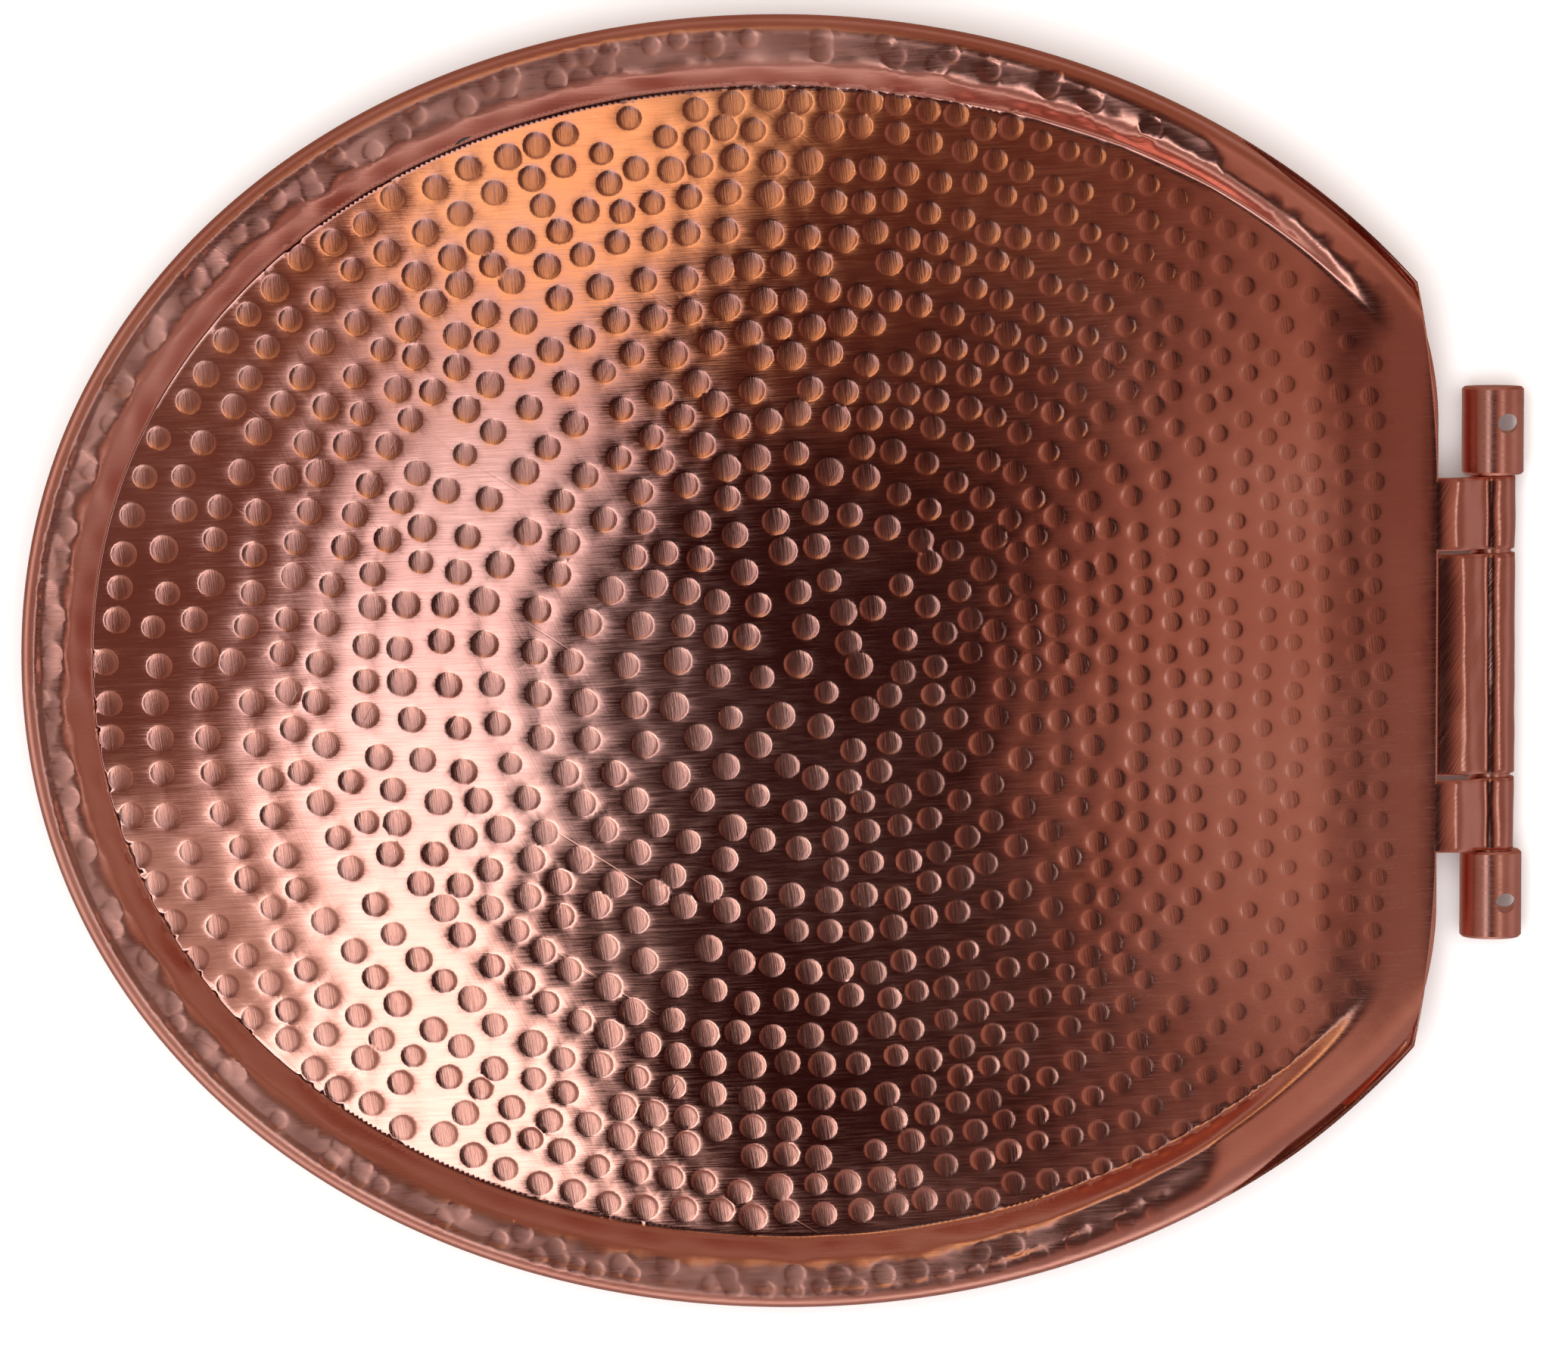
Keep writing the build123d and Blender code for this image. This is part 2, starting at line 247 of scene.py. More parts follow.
def round_drop(distance, radius):
    """Fall of a rounded edge at a distance inside it."""
    over = np.clip((radius - distance) / radius, 0.0, 1.0)
    return radius * (1 - np.sqrt(1 - over**2))


def seat_surface(x, y, depth):
    """Height of the seat's sheet at a depth below its outside."""
    outer = oval_inset(x, y, SEAT_INSET)
    drop = round_drop(outer - depth, SEAT_ROUND - depth)
    drop = drop + round_drop(opening_gap(x, y) - depth, OPENING_ROUND - depth)
    drop = drop + round_drop(seat_edge_y(x) - y - depth, SEAT_EDGE_ROUND)
    height = SEAT_TOP - depth - np.minimum(drop, 12.0)
    return height + 0.12 * slow_waves(x, y, 40.0, 11) * smooth_step((EDGE_Y - 6.0 - y) / 20.0)


# ---------------------------------------------------------------- hammer marks

def mark_radius(y):
    """A heavier hammer was used at the front than beside the hinge."""
    return MARK_R_HINGE + (MARK_R_FRONT - MARK_R_HINGE) * float(smooth_step((-50.0 - y) / 160.0))


def field_marks():
    """Places and sizes of the marks on the lid's dome: rows that ring its middle."""
    marks = []
    cx, cy = RINGS_CENTRE
    turns = np.linspace(0, 2 * math.pi, 721)
    rays = []
    for turn in turns:
        far = np.linspace(20, 260, 481)
        px = cx + far * math.cos(turn)
        py = cy + far * math.sin(turn)
        clear = np.minimum(oval_inset(px, py, 21.5), lid_edge_y(px) - 13.0 - py)
        rays.append(far[np.argmax(clear < 0)])
    rays = np.array(rays)
    for ring in range(RING_COUNT):
        part = (ring + 0.55) / RING_COUNT
        turn = rng.uniform(0, 2 * math.pi)
        end = turn + 2 * math.pi
        while turn < end:
            ray = np.interp(turn % (2 * math.pi), turns, rays)
            gap = ray / RING_COUNT
            bend = 0.18 * math.sin(3 * turn + ring * 0.7) + 0.12 * math.sin(7 * turn + ring)
            r = ray * part + gap * (bend + rng.normal(0, 0.10))
            r = min(max(r, 2.0), ray - 2.0)
            px = cx + r * math.cos(turn)
            py = cy + r * math.sin(turn)
            size = mark_radius(py)
            if all(math.hypot(px - mx, py - my) > TOUCHING * (size + mr) for mx, my, mr in marks):
                marks.append((px, py, size))
            turn += 0.5 * (gap + 2.7 * size) * rng.uniform(0.84, 1.16) / max(r, 4.0)
    return marks


def band_marks():
    """Marks on the lid's raised band: one loose row, and scallops along its outer edge."""
    marks = []
    for low, high, gap, size, chance in ((8.5, 11.0, 14.0, 3.3, 0.9), (5.2, 6.8, 7.5, 2.9, 0.55)):
        turn = -math.pi / 2
        while turn < 1.5 * math.pi:
            at = rng.uniform(low, high)
            reach = FRONT_REACH if math.sin(turn) < 0 else REAR_REACH
            px = (HALF_WIDTH - at) * math.cos(turn)
            py = WIDEST_Y + (reach - at) * math.sin(turn)
            if py < -95 and rng.random() < chance:
                marks.append((px, py, size))
            turn += gap * rng.uniform(0.6, 1.5) / 200.0
    return marks


def seat_marks():
    """Marks on the ring seat, in rows that follow its opening."""
    marks = []
    rows = 7
    for row in range(rows):
        part = (row + 0.4) / rows
        turn = rng.uniform(0, 0.05)
        while turn < 2 * math.pi:
            at = part + rng.normal(0, 0.016)
            reach = FRONT_REACH if math.sin(turn) < 0 else 205.0
            ox = (HALF_WIDTH - 10) * math.cos(turn)
            oy = WIDEST_Y + (reach - 10) * math.sin(turn)
            ix = (OPENING_X_R + 7) * math.cos(turn)
            iy = OPENING_Y + (OPENING_Y_R + 7) * math.sin(turn)
            px = ix + (ox - ix) * at
            py = iy + (oy - iy) * at
            clear = all(math.hypot(px - mx, py - my) > TOUCHING * 2 * mr for mx, my, mr in marks)
            if py < -38 and clear:
                marks.append((px, py, SEAT_MARK_R))
            turn += 9.8 * rng.uniform(0.8, 1.25) / math.hypot(px, py - OPENING_Y)
    return marks


def with_strength(marks, fade_from, fade_to, strength=1.0):
    """Array of x, y, radius and strength. Marks fade out between two distances from the hinge."""
    marks = np.array(marks)
    marks[:, 2] *= rng.normal(1.0, 0.05, len(marks)).clip(0.85, 1.12)
    left = smooth_step((fade_to - marks[:, 1]) / (fade_to - fade_from))
    force = strength * rng.normal(1.0, 0.12, len(marks)).clip(0.7, 1.35) * (0.3 + 0.7 * left)
    return np.column_stack([marks, force])


def mark_depth(x, y, marks):
    """Depth that the marks add at each point, and whether the point is inside a struck face."""
    depth = np.zeros_like(x)
    struck = np.zeros(len(x), bool)
    for start in range(0, len(x), CHUNK):
        part = slice(start, start + CHUNK)
        r = np.hypot(x[part, None] - marks[None, :, 0], y[part, None] - marks[None, :, 1])
        r0 = marks[None, :, 2]
        pull = MARK_PULL * np.exp(-np.maximum(r - r0, 0.0) / PULL_REACH)
        lip = MARK_LIP * np.clip((r0 - r) / 0.35, 0.0, 1.0)
        bowl = MARK_DEPTH * np.clip(1 - (r / r0) ** 2, 0.0, 1.0)
        depth[part] = ((pull + lip + bowl) * marks[None, :, 3]).max(axis=1)
        struck[part] = (r < r0).any(axis=1)
    return depth, struck


def mark_points(marks, segments):
    """Mesh points of every mark: rings outside, on and inside its rim.

    A later strike clears the older rings that it covers."""
    rings = (
        (1.2, 1.0, segments * 5 // 8),
        (0.4, 1.0, segments),
        (0.0, 1.0, segments),
        (-0.35, 1.0, segments),
        (0.0, 0.66, segments * 3 // 4),
        (0.0, 0.33, segments * 3 // 8),
        (0.0, 0.0, 1),
    )
    offsets = []
    for grow, share, count in rings:
        turns = 2 * math.pi * (np.arange(count) + 0.5 * (share < 1)) / count
        grown = np.full(count, grow)
        offsets.append(np.column_stack([np.cos(turns), np.sin(turns), grown, np.full(count, share)]))
    offsets = np.vstack(offsets)
    radius = (marks[:, 2, None] + offsets[None, :, 2]) * offsets[None, :, 3]
    px = marks[:, 0, None] + radius * offsets[None, :, 0]
    py = marks[:, 1, None] + radius * offsets[None, :, 1]
    owner = np.repeat(np.arange(len(marks)), offsets.shape[0])
    px, py = px.ravel(), py.ravel()
    keep = np.ones(len(px), bool)
    for i, (mx, my, mr, _) in enumerate(marks):
        near = np.hypot(px - mx, py - my)
        keep &= ~((owner < i) & (near < mr + 0.22))
        keep &= ~((owner > i) & (near < mr + 0.22) & (near > mr - 0.12))
    return px[keep], py[keep]


# ---------------------------------------------------------------- mesh making

SHEET_FACE, STRUCK, RIM, TAB, EDGE = range(5)


class Builder:
    """Collects vertices and faces of one mesh, with a material number per face."""

    def __init__(self):
        self.verts = []
        self.faces = []
        self.slots = []
        self.count = 0

    def add_points(self, points):
        first = self.count
        self.verts.append(np.asarray(points, float))
        self.count += len(points)
        return first

    def add_faces(self, faces, slot=0):
        self.faces.extend([tuple(int(i) for i in face) for face in faces])
        if np.ndim(slot) == 0:
            slot = [slot] * len(faces)
        self.slots.extend([int(s) for s in slot])

    def bridge(self, first_a, first_b, count, closed=True, slot=0):
        """Quads between two rows of points."""
        last = count if closed else count - 1
        i = np.arange(last)
        j = (i + 1) % count
        quads = np.column_stack([first_a + i, first_a + j, first_b + j, first_b + i])
        self.add_faces(quads, slot)

    def make(self, name, materials):
        mesh = bpy.data.meshes.new(name)
        points = np.vstack(self.verts) * MM
        mesh.from_pydata(points.tolist(), [], self.faces)
        for material in materials:
            mesh.materials.append(material)
        mesh.polygons.foreach_set("material_index", self.slots)
        mesh.polygons.foreach_set("use_smooth", [True] * len(mesh.polygons))
        mesh.validate()
        shell = bmesh.new()
        shell.from_mesh(mesh)
        bmesh.ops.recalc_face_normals(shell, faces=shell.faces)
        shell.to_mesh(mesh)
        shell.free()
        mesh.update()
        obj = bpy.data.objects.new(name, mesh)
        bpy.context.scene.collection.objects.link(obj)
        return obj


def thin_out(px, py, taken_x, taken_y, cell):
    """Drops points that fall in or beside a cell that is already taken."""
    x0, y0 = -220.0, -460.0
    grid = np.zeros((int(440 / cell) + 4, int(480 / cell) + 4), bool)
    ti = ((taken_x - x0) / cell).astype(int) + 1
    tj = ((taken_y - y0) / cell).astype(int) + 1
    for a in (-1, 0, 1):
        for b in (-1, 0, 1):
            grid[ti + a, tj + b] = True
    i = ((px - x0) / cell).astype(int) + 1
    j = ((py - y0) / cell).astype(int) + 1
    return ~grid[i, j]


def hex_grid(spacing, seed):
    """Slightly shaken triangular grid over the whole plan."""
    shake = np.random.default_rng(seed)
    ys = np.arange(-440, -15, spacing * 0.866)
    xs = np.arange(-195, 195, spacing)
    gx, gy = np.meshgrid(xs, ys)
    gx[1::2] += spacing / 2
    gx = gx + shake.uniform(-0.12, 0.12, gx.shape) * spacing
    gy = gy + shake.uniform(-0.12, 0.12, gy.shape) * spacing
    return gx.ravel(), gy.ravel()


def triangulate(px, py):
    """Flat triangle mesh through the points, as vertices and faces."""
    points = [Vector((float(a), float(b))) for a, b in zip(px, py)]
    result = delaunay_2d_cdt(points, [], [], 0, 1e-7)
    verts = np.array([(v.x, v.y) for v in result[0]])
    return verts, np.array(result[2])


def oval_loop(inset, edge_inset, edge_y, counts=LID_LOOP):
    """Closed loop round the plan, inset from the oval and from the hinge edge."""
    corner, high = 0.3, 1.3
    for _ in range(40):
        mid = (corner + high) / 2
        ox = (HALF_WIDTH - inset) * math.cos(mid)
        past = WIDEST_Y + (REAR_REACH - inset) * math.sin(mid) > edge_y(ox) - edge_inset
        corner, high = (corner, mid) if past else (mid, high)
    t = np.linspace(corner, -math.pi - corner, counts[0], endpoint=False)
    reach = np.where(np.sin(t) < 0, FRONT_REACH, REAR_REACH) - inset
    power = np.where(np.sin(t) < 0, 2.0 / FULLNESS, 1.0)
    x1 = (HALF_WIDTH - inset) * np.sign(np.cos(t)) * np.abs(np.cos(t)) ** power
    y1 = WIDEST_Y + reach * np.sign(np.sin(t)) * np.abs(np.sin(t)) ** power
    corner_x = (HALF_WIDTH - inset) * math.cos(corner)
    x2 = np.linspace(-corner_x, corner_x, counts[1], endpoint=False)
    y2 = edge_y(x2) - edge_inset
    return np.concatenate([x1, x2]), np.concatenate([y1, y2])


def gather(loops, keep=None):
    """Joins loops of points into one pair of arrays, taking the first few points of each."""
    return (
        np.concatenate([loop[0][:keep] for loop in loops]),
        np.concatenate([loop[1][:keep] for loop in loops]),
    )


def away_from_marks(x, y, marks):
    """Leaves out the points that fall on a mark or just beside it."""
    clear = np.ones(len(x), bool)
    for mx, my, r, _ in marks:
        clear &= np.hypot(x - mx, y - my) > r + 1.3
    return x[clear], y[clear]


def tab_profile(top_z, bend, dip):
    """Side view of a tab rolled round the rod: matching outer and inner rows of (y, z).

    It leaves the sheet at the sheet's own slope, dips in a long curve and rolls round the rod."""
    reach_y = ROLL_SIGHT_Y - AXIS_Y
    reach_z = top_z - AXIS_Z
    touch = math.atan2(reach_z, reach_y) - math.acos(KNUCKLE_OUT / math.hypot(reach_y, reach_z))
    end = touch - math.radians(KNUCKLE_WRAP)
    roll_start = math.radians(ROLL_START)
    bend_y, bend_z = bend
    roll_y = AXIS_Y + KNUCKLE_OUT * math.cos(roll_start)
    roll_z = AXIS_Z + KNUCKLE_OUT * math.sin(roll_start)
    outer = [
        (EDGE_Y - 1.6, top_z - dip - 0.06),
        (EDGE_Y - 0.6, top_z - dip),
        (EDGE_Y + 1.2, top_z - 0.6 * dip),
    ]
    lead = STRIP_SLOPE * (roll_y - bend_y) / (bend_z - roll_z)
    for t in np.linspace(0, 1, 22, endpoint=False):
        fall = float(smooth_step(t**1.15)) + lead * t * (1 - t) ** 2
        outer.append((bend_y + (roll_y - bend_y) * t, bend_z + (roll_z - bend_z) * fall))
    for turn in np.linspace(roll_start, end, 64):
        outer.append((AXIS_Y + KNUCKLE_OUT * math.cos(turn), AXIS_Z + KNUCKLE_OUT * math.sin(turn)))
    outer = np.array(outer)
    along = np.gradient(outer, axis=0)
    along /= np.hypot(along[:, 0], along[:, 1])[:, None]
    inner = outer + SHEET * np.column_stack([along[:, 1], -along[:, 0]])
    return outer, inner


def add_tab(build, top_z, x_from, x_to, seed, bend, dip):
    """A rolled tab, its outside a little uneven as if dressed with a hammer."""
    outer, inner = tab_profile(top_z, bend, dip)
    stations = np.concatenate(
        [[x_from, x_from + 0.25], np.linspace(x_from + 1.5, x_to - 1.5, 22), [x_to - 0.25, x_to]]
    )
    rows = []
    middle = (outer + inner) / 2
    for i, x in enumerate(stations):
        thickness = 0.62 if i in (0, len(stations) - 1) else 1.0  # the end rows round the edge off
        out = middle + (outer - middle) * thickness
        into = middle + (inner - middle) * thickness
        away = (outer - middle) / (SHEET / 2)
        along = np.arange(len(out)) * 1.0
        uneven = TAB_WAVES * slow_waves(np.full(len(out), x * 1.0), along, 16.0, seed)
        uneven = (uneven - TAB_WAVES) * smooth_step(along / 8.0)
        out = out + away * uneven[:, None]
        loop = np.vstack([out, into[::-1]])
        points = np.column_stack([np.full(len(loop), x), loop])
        rows.append(build.add_points(points))
    n = 2 * len(outer)
    for a, b in zip(rows[:-1], rows[1:]):
        build.bridge(b, a, n, slot=TAB)
    half = len(outer)
    for row, flip in ((rows[0], False), (rows[-1], True)):
        i = np.arange(half - 1)
        cap = np.column_stack([row + i, row + i + 1, row + n - 2 - i, row + n - 1 - i])
        build.add_faces(cap[:, ::-1] if flip else cap, TAB)


def lid_top(build, marks, field):
    """The lid's upper skin. Gives its first point and the number of points in its outer loop."""
    edge_x, edge_y = oval_loop(2.0, 1.9, lid_edge_y)
    mx, my = mark_points(marks, 16)
    inside = (oval_inset(mx, my) > 2.8) & (lid_edge_y(mx) - my > 2.8)
    mx, my = mx[inside], my[inside]
    lines = [oval_loop(inset, 2.9, lid_edge_y) for inset in LID_LINES]
    lx, ly = away_from_marks(*gather(lines, LID_LOOP[0]), marks)
    gx, gy = hex_grid(2.6, 21)
    keep = (oval_inset(gx, gy) > 3.2) & (lid_edge_y(gx) - gy > 3.2)
    gx, gy = gx[keep], gy[keep]
    taken_x, taken_y = gather([(mx, my), (lx, ly), (edge_x, edge_y)])
    keep = thin_out(gx, gy, taken_x, taken_y, 1.1)
    flat, faces = triangulate(*gather([(edge_x, edge_y), (mx, my), (lx, ly), (gx[keep], gy[keep])]))
    loop_n = len(edge_x)
    x, y = flat[:, 0], flat[:, 1]
    depth, _ = mark_depth(x, y, marks)
    z = lid_surface(x, y, 0.0) - depth
    middle = flat[faces].mean(axis=1)
    _, struck = mark_depth(middle[:, 0].copy(), middle[:, 1].copy(), field)
    on_rim = oval_inset(middle[:, 0].copy(), middle[:, 1].copy()) < rim_width(middle[:, 0], middle[:, 1])
    top = build.add_points(np.column_stack([x, y, z]))
    build.add_faces(faces + top, np.where(struck, STRUCK, np.where(on_rim, RIM, SHEET_FACE)))
    return top, loop_n


def lid_skirt(build, marks, top, loop_n):
    """Rolls the upper skin over, down the skirt and round under its lip. Gives the last row."""
    rows = [top]
    for inset in (1.45, 1.0, 0.6):
        sx, sy = oval_loop(inset, inset - 0.1, lid_edge_y)
        sunk, _ = mark_depth(sx, sy, marks)
        rows.append(build.add_points(np.column_stack([sx, sy, lid_surface(sx, sy, 0.0) - sunk])))
    rolled = len(rows) - 1
    sx, sy = oval_loop(0.25, 0.25, lid_edge_y)
    sz = np.minimum(lid_surface(sx, sy, 0.0), hinge_ramp(sy))
    rows.append(build.add_points(np.column_stack([sx, sy, sz])))
    inner = SHEET + 0.02
    for inset, highest, below_ramp in (
        (0.0, RIM_TOP - 5.0, 0.25),
        (0.0, RIM_TOP - 8.5, 0.45),
        (0.0, LID_BASE + 0.45, 0.6),
        (0.3, LID_BASE + 0.02, 0.0),
        (0.95, LID_BASE + 0.02, 0.0),
        (inner, LID_BASE + 0.4, SHEET),
        (inner, RIM_TOP - 8.5, SHEET),
        (inner, RIM_TOP - 5.6, SHEET),
    ):
        sx, sy = oval_loop(inset, inset, lid_edge_y)
        sz = np.minimum(highest, hinge_ramp(sy) - below_ramp)
        rows.append(build.add_points(np.column_stack([sx, sy, sz])))
    for i, (a, b) in enumerate(zip(rows[:-1], rows[1:])):
        build.bridge(b, a, loop_n, slot=RIM if i < rolled else EDGE)
    return rows[-1]


def lid_underside(build, marks, last_row, loop_n):
    """The lid's inner skin, where each mark shows as a low bump."""
    ux, uy = oval_loop(SHEET + 0.5, SHEET + 0.3, lid_edge_y)
    corners = 2 * math.pi * np.arange(6) / 6
    bx = np.concatenate([marks[:, 0], (marks[:, 0, None] + 2.5 * np.cos(corners)).ravel()])
    by = np.concatenate([marks[:, 1], (marks[:, 1, None] + 2.5 * np.sin(corners)).ravel()])
    keep = (oval_inset(bx, by) > 3.2) & (lid_edge_y(bx) - by > 3.0)
    bx, by = bx[keep], by[keep]
    lx, ly = gather([oval_loop(inset, 3.0, lid_edge_y) for inset in UNDER_LINES], LID_LOOP[0])
    gx, gy = hex_grid(4.4, 22)
    keep = (oval_inset(gx, gy) > 3.4) & (lid_edge_y(gx) - gy > 3.0)
    gx, gy = gx[keep], gy[keep]
    taken_x, taken_y = gather([(bx, by), (lx, ly), (ux, uy)])
    keep = thin_out(gx, gy, taken_x, taken_y, 1.5)
    flat, faces = triangulate(*gather([(ux, uy), (bx, by), (lx, ly), (gx[keep], gy[keep])]))
    x, y = flat[:, 0], flat[:, 1]
    bump = np.zeros_like(x)
    for start in range(0, len(x), CHUNK):
        part = slice(start, start + CHUNK)
        r = np.hypot(x[part, None] - marks[None, :, 0], y[part, None] - marks[None, :, 1])
        bump[part] = (BUMP_HEIGHT * marks[None, :, 3] * np.exp(-((r / BUMP_REACH) ** 2))).max(axis=1)
    z = lid_surface(x, y, SHEET) - bump * smooth_step((oval_inset(x, y) - 3.0) / 4.0)
    z = np.maximum(z, LID_BASE)
    under = build.add_points(np.column_stack([x, y, z]))
    build.add_faces((faces + under)[:, ::-1], 0)
    build.bridge(under, last_row, loop_n)


def make_lid(materials):
    field = with_strength(field_marks(), *MARK_FADE)
    band = with_strength(band_marks(), *MARK_FADE, BAND_STRENGTH)
    marks = np.vstack([field, band])
    build = Builder()
    top, loop_n = lid_top(build, marks, field)
    last_row = lid_skirt(build, marks, top, loop_n)
    lid_underside(build, marks, last_row, loop_n)
    for x_from, x_to, seed in ((LID_TAB[0], LID_TAB[1], 31), (-LID_TAB[1], -LID_TAB[0], 32)):
        add_tab(build, LID_BASE + SHEET, x_from, x_to, seed, LID_TAB_BEND, 0.1)
    return build.make("hammered_lid", materials)


def hole_loop(grow):
    """Closed loop round the seat's opening."""
    around = 2 * math.pi * np.arange(OPENING_LOOP) / OPENING_LOOP
    return (
        (OPENING_X_R + grow) * np.cos(around),
        OPENING_Y + (OPENING_Y_R + grow) * np.sin(around),
    )


def seat_top(build, marks):
    """The seat's upper skin. Gives its first point and the number of points in its outer loop."""
    edge_x, edge_y = oval_loop(SEAT_INSET + 0.9, 0.6, seat_edge_y, SEAT_LOOP)
    hole_x, hole_y = hole_loop(0.9)
    mx, my = mark_points(marks, 12)
    clear = (oval_inset(mx, my, SEAT_INSET) > 1.8) & (seat_edge_y(mx) - my > 1.6)
    clear &= opening_gap(mx, my) > 1.8
    mx, my = mx[clear], my[clear]
    near = oval_loop(SEAT_INSET + 1.2, 0.9, seat_edge_y, SEAT_LOOP)
    lines = [oval_loop(SEAT_INSET + k, 1.6, seat_edge_y, SEAT_LOOP) for k in SEAT_LINES]
    lines = gather(lines, SEAT_LOOP[0])
    rings = gather([hole_loop(k) for k in OPENING_LINES])
    lx, ly = away_from_marks(*gather([near, lines, rings]), marks)
    gx, gy = hex_grid(3.2, 23)
    keep = (oval_inset(gx, gy, SEAT_INSET) > 2.2) & (seat_edge_y(gx) - gy > 2.0)
    keep &= opening_gap(gx, gy) > 2.2
    gx, gy = gx[keep], gy[keep]
    taken_x, taken_y = gather([(mx, my), (lx, ly), (edge_x, edge_y), (hole_x, hole_y)])
    keep = thin_out(gx, gy, taken_x, taken_y, 1.3)
    flat, faces = triangulate(
        *gather([(edge_x, edge_y), (hole_x, hole_y), (mx, my), (lx, ly), (gx[keep], gy[keep])])
    )
    middle = flat[faces].mean(axis=1)
    faces = faces[opening_gap(middle[:, 0].copy(), middle[:, 1].copy()) > 0.85]
    middle = flat[faces].mean(axis=1)
    x, y = flat[:, 0], flat[:, 1]
    depth, _ = mark_depth(x, y, marks)
    _, struck = mark_depth(middle[:, 0].copy(), middle[:, 1].copy(), marks)
    top = build.add_points(np.column_stack([x, y, seat_surface(x, y, 0.0) - depth]))
    build.add_faces(faces + top, struck.astype(int))
    loop_n = len(edge_x)
    return top, loop_n


def seat_walls(build, top, loop_n):
    """Outer and inner walls of the seat's channel. Gives the last row of each."""
    def outer_row(inset, z_of):
        sx, sy = oval_loop(SEAT_INSET + inset, inset, seat_edge_y, SEAT_LOOP)
        return build.add_points(np.column_stack([sx, sy, z_of(sx, sy)]))

    def inner_row(grow, z):
        sx, sy = hole_loop(grow)
        return build.add_points(np.column_stack([sx, sy, np.full(OPENING_LOOP, z)]))

    def high(a, b, lower):
        """Near the top beside the hinge edge, lower round the oval."""
        return np.where(b > seat_edge_y(a) - 2.5, SEAT_TOP - 0.9, lower)

    outer = [top]
    outer.append(outer_row(0.3, lambda a, b: high(a, b, SEAT_TOP - 7.6) + 0.4))
    outer.append(outer_row(0.0, lambda a, b: high(a, b, SEAT_TOP - 9.6)))
    outer.append(outer_row(0.0, lambda a, b: np.full_like(a, SEAT_BASE + 0.3)))
    outer.append(outer_row(0.3, lambda a, b: np.full_like(a, SEAT_BASE)))
    outer.append(outer_row(SHEET, lambda a, b: np.full_like(a, SEAT_BASE)))
    outer.append(outer_row(SHEET, lambda a, b: high(a, b, SEAT_TOP - 10.0) - 0.6))
    outer.append(outer_row(3.0, lambda a, b: np.full_like(a, SEAT_TOP - 7.0)))
    for a, b in zip(outer[:-1], outer[1:]):
        build.bridge(b, a, loop_n)
    inner = [top + loop_n]
    for grow, z in (
        (0.3, SEAT_TOP - 9.4),
        (0.0, SEAT_TOP - 11.8),
        (0.0, SEAT_BASE + 0.3),
        (0.3, SEAT_BASE),
        (SHEET, SEAT_BASE),
        (SHEET, SEAT_TOP - 11.8),
        (3.0, SEAT_TOP - 7.0),
    ):
        inner.append(inner_row(grow, z))
    for a, b in zip(inner[:-1], inner[1:]):
        build.bridge(a, b, OPENING_LOOP)
    return outer[-1], inner[-1]


def seat_underside(build, outer_row, inner_row, loop_n):
    """The hidden side of the seat's sheet."""
    ux, uy = oval_loop(SEAT_INSET + 4.2, 4.2, seat_edge_y, SEAT_LOOP)
    vx, vy = hole_loop(4.4)
    gx, gy = hex_grid(9.0, 24)
    keep = (oval_inset(gx, gy, SEAT_INSET) > 8) & (seat_edge_y(gx) - gy > 8) & (opening_gap(gx, gy) > 8)
    flat, faces = triangulate(*gather([(ux, uy), (vx, vy), (gx[keep], gy[keep])]))
    middle = flat[faces].mean(axis=1)
    faces = faces[opening_gap(middle[:, 0].copy(), middle[:, 1].copy()) > 4.3]
    under = build.add_points(np.column_stack([flat, np.full(len(flat), SEAT_TOP - 4.4)]))
    build.add_faces((faces + under)[:, ::-1], 0)
    build.bridge(under, outer_row, loop_n)
    build.bridge(inner_row, under + loop_n, OPENING_LOOP)


def make_seat(materials):
    marks = with_strength(seat_marks(), *SEAT_MARK_FADE)
    build = Builder()
    top, loop_n = seat_top(build, marks)
    outer_row, inner_row = seat_walls(build, top, loop_n)
    seat_underside(build, outer_row, inner_row, loop_n)
    add_tab(build, SEAT_TOP, SEAT_TAB[0], SEAT_TAB[1], 33, SEAT_TAB_BEND, 0.6)
    return build.make("hammered_seat", materials)


# ---------------------------------------------------------------- materials

